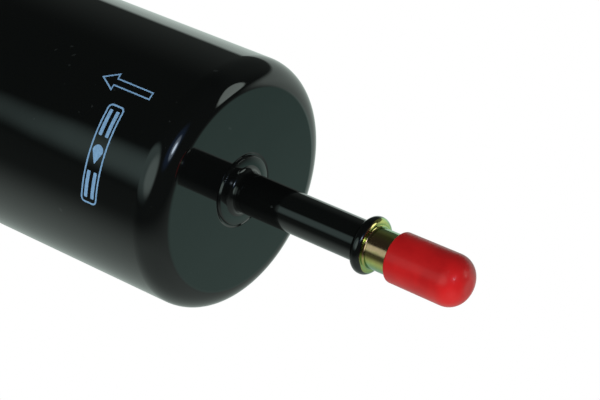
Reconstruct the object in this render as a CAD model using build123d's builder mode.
from build123d import *
from math import cos, degrees, radians, sin
import os

# In-line fuel filter: a painted steel can with a quick-connect spigot and a dust cap at each end.
#
# Millimetres, +X along the flow axis out of the inlet end, +Z up. The origin is on the axis, half
# way along the can, where a clamp band holds it. Fuel enters at +X, passes through the pleats from
# the outside in, and leaves along the perforated core at -X.

# ---- driving dimensions -------------------------------------------------------------------------

CAN_R = 25.0  # outside radius of the painted can
CAN_LENGTH = 105.0  # inlet face to the rim of the seam
SHEET = 0.8  # steel sheet of the can and the cover
SHOULDER_R = 4.9  # radius between the inlet face and the can wall
PRESS_R = 0.9  # bend of the pressed seats

TUBE_R = 3.97  # 5/16 in spigot
TUBE_WALL = 0.8
BORE_R = TUBE_R - TUBE_WALL
BEAD_R = 5.57  # retaining bead of the quick-connect end form
BEAD_WIDTH = 2.28
BEAD_TO_TIP = 18.1  # bead centre to the end of the spigot
INLET_BEAD_AT = 30.5  # inlet face to bead centre
OUTLET_BEAD_AT = 19.0  # cover panel to bead centre
INLET_INSIDE = 3.4  # how far each tube reaches in past the sheet's outside
OUTLET_INSIDE = 11.9
TIP_ROUND = 0.7
BEAD_ROOT_R = 0.35
BEAD_CREST_R = 1.1
FLANGE_R = 5.17  # swaged flange that backs each tube against the inside of the sheet
FLANGE_LENGTH = 1.4
FLANGE_ROUND = 0.4
FLANGE_ROOT_R = 0.2

COLLAR_R = 6.95  # brazed collar at the foot of each tube
COLLAR_TOP_R = 6.65
COLLAR_RIM = 0.2  # height of the collar's rim and of its top over the sheet
COLLAR_TOP = 0.4
COLLAR_FLAT_R = 5.2
COLLAR_RIM_ROUND = 0.2
COLLAR_TOP_ROUND = 0.8
BRAZE_FOOT_R = 5.07  # fillet of filler metal round the tube
BRAZE_TOP = 1.6
BRAZE_ARC_R = 1.5
RECESS_R = 7.15  # shallow seat pressed into the sheet for the collar
RECESS_DEPTH = 0.12
RECESS_EDGE_R = 7.9

# Dust caps, dip-moulded and slightly fuller towards the closed end.
CAP_LENGTH = 15.51
CAP_FROM_BEAD = 6.25  # bead centre to the mouth of the cap
CAP_MOUTH_R = 4.89
CAP_END_R = 4.98
CAP_DOME_R = 3.9
CAP_WALL = 0.91
CAP_CLEARANCE = 0.05
CAP_MOUTH_INNER_ROUND = 0.12
CAP_MOUTH_OUTER_ROUND = 0.7

END_X = -CAN_LENGTH / 2  # rim of the seam
FACE_X = CAN_LENGTH / 2  # inlet face

# Double seam at the outlet end: five layers of sheet, numbered outwards from the axis.
NECK_R = 24.4  # the can wall is necked in a little under the seam
NECK_END = 6.2  # seam rim to the end of the neck
NECK_START = 8.2  # seam rim to the start of the full can radius
SEAM_LENGTH = 4.8
FOLD_R = 0.35  # inside radius of the folded sheet
NECK_BEND_OUTER = 2.0
NECK_BEND_INNER = 1.2
PANEL_BEND = 1.2
GROOVE_BEND = 1.4
SEALANT_GAP = 0.15  # sealing compound: clear of the fold, and of the sheets either side
SEALANT_SIDE = 0.1
COVER_HOOK_END = 2.3
BODY_HOOK_END = 3.6
CHUCK_WALL_R = NECK_R - SHEET
HOOK_R = NECK_R + SHEET
SEAM_WALL_R = HOOK_R + SHEET
COUNTERSINK = 6.4  # seam rim to the can side of the cover's groove
PANEL_DEPTH = 3.6  # seam rim to the outside of the cover's panel
GROOVE_INNER_R = 20.6
PANEL_EDGE_R = 19.4
PANEL_X = END_X + PANEL_DEPTH

# Filter element.
STAMPING = 0.5  # sheet of the element's end caps
ELEMENT_R = 21.0
OPEN_CAP_X = -43.2  # outlet side of the open end cap
CLOSED_CAP_X = 37.0  # inlet side of the closed end cap
RIM_HEIGHT = 4.5
RIM_BEND_R = 0.9  # outside radius where a cap turns into its rim
TAB_COUNT = 4
TAB_WIDTH = 4.0
TAB_ROOT_R = 20.8  # inside the rim, so that the tab and the rim are one sheet
TAB_TIP_R = 24.1
TAB_START_ANGLE = 45
POTTING = 1.2
POTTING_CORNER_R = 0.45
CORE_R = 7.5
CORE_WALL = 0.5
HOLE_ROWS = 12
HOLES_ROUND = 8
HOLE_R = 1.5
HOLE_PITCH = 5.2
GROMMET_NECK_R = 6.2
NECK_LENGTH = 6.5
NECK_BEND_R = 0.8
GROMMET_FLANGE_R = 8.5
GROMMET_LIP_R = 6.8  # retaining lip past the neck, tapered for fitting
GROMMET_LIP = 1.2
GROMMET_ROUND = 0.3
GROMMET_LIP_ROOT_R = 0.2

PLEATS = 32
PAPER = 0.4
PLEAT_TIP_R = 20.2
PLEAT_ROOT_R = 8.0
TIP_HALF_WIDTH = 0.9
ROOT_HALF_WIDTH = 0.2
SEAM_PLEAT_TIP_R = 19.5
CLIP_ROOT_R = 15.5
CLIP_SHEET = 0.3

SPRING_R = 9.0  # mean radius of the coil
WIRE_R = 0.7
SPRING_PITCH = 3.7
BOSS_R = 7.2
BOSS_TOP_R = 6.3
BOSS_HEIGHT = 1.5
BOSS_TOP_BEND = 0.8
BOSS_ROOT_BEND = 0.6

# Planes whose x runs outwards along each port and whose y is the radius.
AXIAL = Plane.XZ
INLET = Plane(origin=(FACE_X, 0, 0), x_dir=(1, 0, 0), z_dir=(0, -1, 0))
OUTLET = Plane(origin=(PANEL_X, 0, 0), x_dir=(-1, 0, 0), z_dir=(0, 1, 0))
# A plane whose x runs from the seam rim back along the can.
SEAM = Plane(origin=(END_X, 0, 0), x_dir=(1, 0, 0), z_dir=(0, -1, 0))

os.makedirs("parts", exist_ok=True)


def save(piece, name):
    """Label one finished piece and write its STEP file."""
    piece.part.label = name
    export_step(piece.part, f"parts/{name}.step")


def stamping(plane, points, radii, sheet, side):
    """A pressed sheet of even thickness: one surface is drawn, then given its thickness and spun."""
    with BuildPart() as pressed:
        with BuildSketch(plane):
            with BuildLine():
                FilletPolyline(*points, radius=radii)
                offset(amount=sheet, side=side)
            make_face()
        revolve(axis=Axis.X)
    return pressed


def ring(plane, points, radii):
    """A solid ring spun from a closed outline with rounded corners."""
    with BuildPart() as turned:
        with BuildSketch(plane):
            with BuildLine():
                FilletPolyline(*points, radius=radii, close=True)
            make_face()
        revolve(axis=Axis.X)
    return turned


# ---- can ----------------------------------------------------------------------------------------

# The drawn can: outside surface from the hole for the inlet tube, over the shoulder, along the
# wall, through the neck and round the hook that the cover is seamed to.
can_shell = stamping(
    SEAM,
    [
        (CAN_LENGTH - RECESS_DEPTH, TUBE_R),
        (CAN_LENGTH - RECESS_DEPTH, RECESS_R),
        (CAN_LENGTH, RECESS_EDGE_R),
        (CAN_LENGTH, CAN_R),
        (NECK_START, CAN_R),
        (NECK_END, NECK_R),
        (2 * SHEET, NECK_R),
        (2 * SHEET, HOOK_R),
        (BODY_HOOK_END, HOOK_R),
    ],
    [PRESS_R, PRESS_R, SHOULDER_R, NECK_BEND_OUTER, NECK_BEND_INNER, FOLD_R, FOLD_R],
    SHEET,
    Side.LEFT,
)
save(can_shell, "can_shell")

# The stamped cover: its can side, from the hole for the outlet tube across the panel, down the
# countersink, up the chuck wall, over the body's hook and back up inside it.
end_cover = stamping(
    SEAM,
    [
        (PANEL_DEPTH + SHEET + RECESS_DEPTH, TUBE_R),
        (PANEL_DEPTH + SHEET + RECESS_DEPTH, RECESS_R),
        (PANEL_DEPTH + SHEET, RECESS_EDGE_R),
        (PANEL_DEPTH + SHEET, PANEL_EDGE_R),
        (COUNTERSINK, GROOVE_INNER_R),
        (COUNTERSINK, CHUCK_WALL_R),
        (SHEET, CHUCK_WALL_R),
        (SHEET, SEAM_WALL_R),
        (SEAM_LENGTH - SHEET, SEAM_WALL_R),
        (SEAM_LENGTH - SHEET, HOOK_R),
        (COVER_HOOK_END, HOOK_R),
    ],
    [
        PRESS_R,
        PRESS_R,
        PANEL_BEND,
        PANEL_BEND,
        GROOVE_BEND,
        FOLD_R + SHEET,
        FOLD_R + SHEET,
        FOLD_R,
        FOLD_R,
    ],
    SHEET,
    Side.LEFT,
)
save(end_cover, "end_cover")

# Sealing compound in the pocket above the cover's hook.
seam_sealant = ring(
    SEAM,
    [
        (2 * SHEET + SEALANT_GAP, NECK_R + SEALANT_SIDE),
        (2 * SHEET + SEALANT_GAP, HOOK_R - SEALANT_SIDE),
        (COVER_HOOK_END, HOOK_R - SEALANT_SIDE),
        (COVER_HOOK_END, NECK_R + SEALANT_SIDE),
    ],
    [SEALANT_SIDE, SEALANT_SIDE, 0, 0],
)
save(seam_sealant, "seam_sealant")


# ---- ports --------------------------------------------------------------------------------------


def spigot_tube(port, bead_at, inner_length):
    """A tube with a swaged inner flange, a rolled retaining bead and a rounded tip."""
    flange_at = -RECESS_DEPTH - SHEET
    bead_side = BEAD_WIDTH / 2
    return ring(
        port,
        [
            (-inner_length, BORE_R),
            (-inner_length, TUBE_R),
            (flange_at - FLANGE_LENGTH, TUBE_R),
            (flange_at - FLANGE_LENGTH, FLANGE_R),
            (flange_at, FLANGE_R),
            (flange_at, TUBE_R),
            (bead_at - bead_side, TUBE_R),
            (bead_at - bead_side, BEAD_R),
            (bead_at + bead_side, BEAD_R),
            (bead_at + bead_side, TUBE_R),
            (bead_at + BEAD_TO_TIP, TUBE_R),
            (bead_at + BEAD_TO_TIP, BORE_R),
        ],
        [
            0,
            FLANGE_ROOT_R,
            0,
            FLANGE_ROUND,
            0,
            0,
            BEAD_ROOT_R,
            BEAD_CREST_R,
            BEAD_CREST_R,
            BEAD_ROOT_R,
            TIP_ROUND,
            0,
        ],
    )


def brazed_collar(port):
    """A thin washer, sloping outwards, that sits in the pressed seat around the tube."""
    return ring(
        port,
        [
            (-RECESS_DEPTH, TUBE_R),
            (-RECESS_DEPTH, COLLAR_R),
            (COLLAR_RIM, COLLAR_TOP_R),
            (COLLAR_TOP, COLLAR_FLAT_R),
            (COLLAR_TOP, TUBE_R),
        ],
        [0, 0, COLLAR_RIM_ROUND, COLLAR_TOP_ROUND, 0],
    )


def braze_fillet(port):
    """The concave fillet of filler metal between the collar and the tube."""
    with BuildPart() as fillet_ring:
        with BuildSketch(port):
            with BuildLine():
                root = (COLLAR_TOP, TUBE_R)
                foot = (COLLAR_TOP, BRAZE_FOOT_R)
                top = (BRAZE_TOP, TUBE_R)
                Line(root, foot)
                RadiusArc(foot, top, -BRAZE_ARC_R)
                Line(top, root)
            make_face()
        revolve(axis=Axis.X)
    return fillet_ring


inlet_tube = spigot_tube(INLET, INLET_BEAD_AT, INLET_INSIDE)
save(inlet_tube, "inlet_tube")

outlet_tube = spigot_tube(OUTLET, OUTLET_BEAD_AT, OUTLET_INSIDE)
save(outlet_tube, "outlet_tube")

inlet_collar = brazed_collar(INLET)
save(inlet_collar, "inlet_collar")

outlet_collar = brazed_collar(OUTLET)
save(outlet_collar, "outlet_collar")

inlet_braze = braze_fillet(INLET)
save(inlet_braze, "inlet_braze")

outlet_braze = braze_fillet(OUTLET)
save(outlet_braze, "outlet_braze")


def dust_cap(port, bead_at):
    """A dip-moulded cap, a running fit on the spigot, with a domed end and a rounded mouth."""
    mouth = bead_at + CAP_FROM_BEAD
    end = mouth + CAP_LENGTH
    bore = TUBE_R + CAP_CLEARANCE
    dome_inside = CAP_DOME_R - CAP_WALL
    return ring(
        port,
        [
            (mouth, bore),
            (mouth, CAP_MOUTH_R),
            (end, CAP_END_R),
            (end, 0),
            (end - CAP_WALL, 0),
            (end - CAP_WALL, bore),
        ],
        [CAP_MOUTH_INNER_ROUND, CAP_MOUTH_OUTER_ROUND, CAP_DOME_R, 0, 0, dome_inside],
    )


inlet_cap = dust_cap(INLET, INLET_BEAD_AT)
save(inlet_cap, "inlet_cap")

outlet_cap = dust_cap(OUTLET, OUTLET_BEAD_AT)
save(outlet_cap, "outlet_cap")


# ---- filter element -----------------------------------------------------------------------------

# Closed end cap: a shallow cup with a boss that locates the spring, and four tabs bent out from
# its rim that keep the element central in the can.
with BuildPart() as closed_end_cap:
    with BuildSketch(AXIAL):
        with BuildLine():
            FilletPolyline(
                (CLOSED_CAP_X + BOSS_HEIGHT, 0),
                (CLOSED_CAP_X + BOSS_HEIGHT, BOSS_TOP_R),
                (CLOSED_CAP_X, BOSS_R),
                (CLOSED_CAP_X, ELEMENT_R),
                (CLOSED_CAP_X - RIM_HEIGHT, ELEMENT_R),
                radius=[BOSS_TOP_BEND, BOSS_ROOT_BEND, RIM_BEND_R],
            )
            offset(amount=STAMPING, side=Side.LEFT)
        make_face()
    revolve(axis=Axis.X)
    with BuildSketch(Plane.YZ.offset(CLOSED_CAP_X - RIM_HEIGHT)):
        with PolarLocations(0, TAB_COUNT, start_angle=TAB_START_ANGLE):
            with Locations(((TAB_ROOT_R + TAB_TIP_R) / 2, 0)):
                Rectangle(TAB_TIP_R - TAB_ROOT_R, TAB_WIDTH)
    extrude(amount=STAMPING)
save(closed_end_cap, "closed_end_cap")

# Open end cap: the same cup with an inward neck that holds the grommet.
open_end_cap = stamping(
    AXIAL,
    [
        (OPEN_CAP_X + NECK_LENGTH, GROMMET_NECK_R),
        (OPEN_CAP_X, GROMMET_NECK_R),
        (OPEN_CAP_X, ELEMENT_R),
        (OPEN_CAP_X + RIM_HEIGHT, ELEMENT_R),
    ],
    [NECK_BEND_R, RIM_BEND_R],
    STAMPING,
    Side.RIGHT,
)
save(open_end_cap, "open_end_cap")

INNER_FLOOR_X = OPEN_CAP_X + STAMPING
INNER_CEILING_X = CLOSED_CAP_X - STAMPING


def potting_ring(cap_face, depth):
    """Adhesive that bonds the pleat ends to the face of an end cap and fills the corner of its rim."""
    edge_r = ELEMENT_R - STAMPING
    return ring(
        AXIAL,
        [
            (cap_face, CORE_R),
            (cap_face, edge_r),
            (cap_face + depth, edge_r),
            (cap_face + depth, CORE_R),
        ],
        [0, POTTING_CORNER_R, 0, 0],
    )


open_end_potting = potting_ring(INNER_FLOOR_X, POTTING)
save(open_end_potting, "open_end_potting")

closed_end_potting = potting_ring(INNER_CEILING_X, -POTTING)
save(closed_end_potting, "closed_end_potting")


def polar(radius, angle):
    """A point at a radius and an angle in degrees."""
    return (radius * cos(radians(angle)), radius * sin(radians(angle)))


def corner(radius, middle, across):
    """A point of the fold at a radius, a distance across from the line at angle middle."""
    return polar(radius, middle + degrees(across / radius))


def pleat_outline(inset):
    """Outline of the folded paper, four corners to a pleat: its outside, or its inside when inset."""
    step = 360 / PLEATS
    corners = []
    for number in range(PLEATS):
        crest = number * step
        valley = crest + step / 2
        tip_r = (SEAM_PLEAT_TIP_R if number == 0 else PLEAT_TIP_R) - inset
        root_r = PLEAT_ROOT_R - inset
        corners.append(corner(tip_r, crest, inset - TIP_HALF_WIDTH))
        corners.append(corner(tip_r, crest, TIP_HALF_WIDTH - inset))
        corners.append(corner(root_r, valley, -inset - ROOT_HALF_WIDTH))
        corners.append(corner(root_r, valley, inset + ROOT_HALF_WIDTH))
    return corners


MEDIA_START_X = INNER_FLOOR_X + POTTING
MEDIA_LENGTH = INNER_CEILING_X - POTTING - MEDIA_START_X

with BuildPart() as pleated_media:
    with BuildSketch(Plane.YZ.offset(MEDIA_START_X)):
        Polygon(*pleat_outline(inset=0), align=None)
        Polygon(*pleat_outline(inset=PAPER), align=None, mode=Mode.SUBTRACT)
    extrude(amount=MEDIA_LENGTH)
save(pleated_media, "pleated_media")

# The channel crimped over the pleat where the ends of the paper meet.
with BuildPart() as side_seam_clip:
    with BuildSketch(Plane.YZ.offset(MEDIA_START_X)):
        clip_half = TIP_HALF_WIDTH + CLIP_SHEET
        clip_top = SEAM_PLEAT_TIP_R + CLIP_SHEET
        Polygon(
            (CLIP_ROOT_R, -clip_half),
            (clip_top, -clip_half),
            (clip_top, clip_half),
            (CLIP_ROOT_R, clip_half),
            align=None,
        )
        Polygon(*pleat_outline(inset=0), align=None, mode=Mode.SUBTRACT)
    extrude(amount=MEDIA_LENGTH)
save(side_seam_clip, "side_seam_clip")

# Perforated core that holds the pleats open against the flow, its first row clear of the neck.
FIRST_HOLE_X = MEDIA_START_X + 2 * CORE_R
with BuildPart() as core_tube:
    with BuildSketch(Plane.YZ.offset(INNER_FLOOR_X)):
        Circle(CORE_R)
        Circle(CORE_R - CORE_WALL, mode=Mode.SUBTRACT)
    extrude(amount=INNER_CEILING_X - INNER_FLOOR_X)
    for row in range(HOLE_ROWS):
        row_x = FIRST_HOLE_X + row * HOLE_PITCH
        for number in range(HOLES_ROUND // 2):
            angle = (number + (row % 2) / 2) * 360 / HOLES_ROUND
            drill_way = (0, *polar(1, angle))
            with BuildSketch(Plane(origin=(row_x, 0, 0), x_dir=(1, 0, 0), z_dir=drill_way)):
                Circle(HOLE_R)
            extrude(amount=CORE_R + 1, both=True, mode=Mode.SUBTRACT)
save(core_tube, "core_tube")

# Rubber grommet: a flange against the tube's own, a body in the end cap's neck and a retaining lip.
GROMMET_FACE_X = PANEL_X + RECESS_DEPTH + SHEET + FLANGE_LENGTH
NECK_TOP_X = OPEN_CAP_X + NECK_LENGTH
outlet_grommet = ring(
    AXIAL,
    [
        (GROMMET_FACE_X, TUBE_R),
        (GROMMET_FACE_X, GROMMET_FLANGE_R),
        (OPEN_CAP_X, GROMMET_FLANGE_R),
        (OPEN_CAP_X, GROMMET_NECK_R),
        (NECK_TOP_X, GROMMET_NECK_R),
        (NECK_TOP_X, GROMMET_LIP_R),
        (NECK_TOP_X + GROMMET_LIP, GROMMET_NECK_R),
        (NECK_TOP_X + GROMMET_LIP, TUBE_R),
    ],
    [
        GROMMET_ROUND,
        NECK_BEND_R,
        GROMMET_ROUND,
        NECK_BEND_R,
        0,
        GROMMET_LIP_ROOT_R,
        GROMMET_ROUND,
        GROMMET_ROUND,
    ],
)
save(outlet_grommet, "outlet_grommet")

# Compression spring that seats the element on the outlet, between its end cap and the inlet face.
SPRING_START = CLOSED_CAP_X + WIRE_R
SPRING_END = FACE_X - SHEET - WIRE_R
with BuildPart() as element_spring:
    with BuildLine() as coil:
        Helix(
            pitch=SPRING_PITCH,
            height=SPRING_END - SPRING_START,
            radius=SPRING_R,
            center=(SPRING_START, 0, 0),
            direction=(1, 0, 0),
        )
    with BuildSketch(Plane(origin=coil.line @ 0, z_dir=coil.line % 0)):
        Circle(WIRE_R)
    sweep(is_frenet=True)
save(element_spring, "element_spring")
